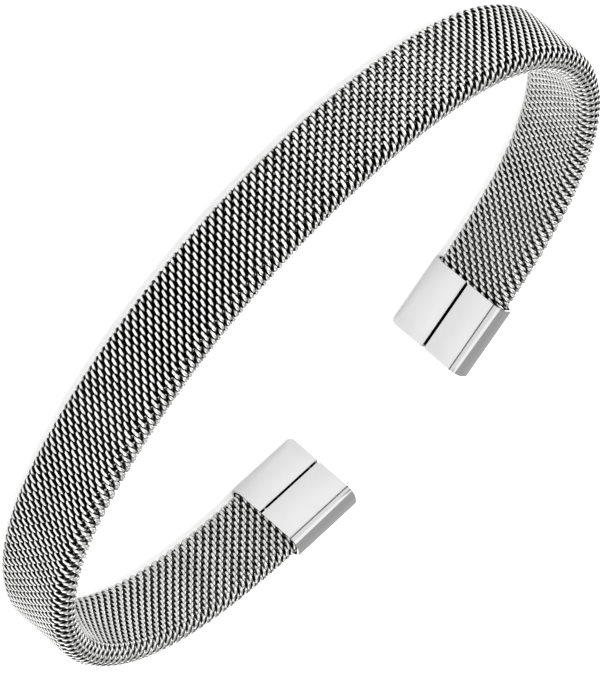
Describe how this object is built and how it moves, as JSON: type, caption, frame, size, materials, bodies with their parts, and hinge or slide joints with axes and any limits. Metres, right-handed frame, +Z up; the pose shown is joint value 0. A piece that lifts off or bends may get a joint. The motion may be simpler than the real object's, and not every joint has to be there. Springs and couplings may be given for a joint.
{
  "type": "kada bracelet",
  "caption": "Open oval cuff bracelet: a flattened tube of woven steel wire with a polished folded sheet cap on each end.",
  "frame": {"origin": "on the surface the cuff lies on, under the middle of its box", "axes": "+X across the oval, -Y towards the closed back and +Y towards the gap, +Z up through the wrist hollow"},
  "size_m": [0.0718, 0.0544, 0.009],
  "materials": {
    "woven_wire": "bright drawn stainless wire, woven, with dark gaps between the turns",
    "polished_cap": "mirror-polished stainless sheet"
  },
  "bodies": {
    "root": {"mesh_band": "woven_wire", "end_cap_left": "polished_cap", "end_cap_right": "polished_cap"}
  },
  "joints": []
}
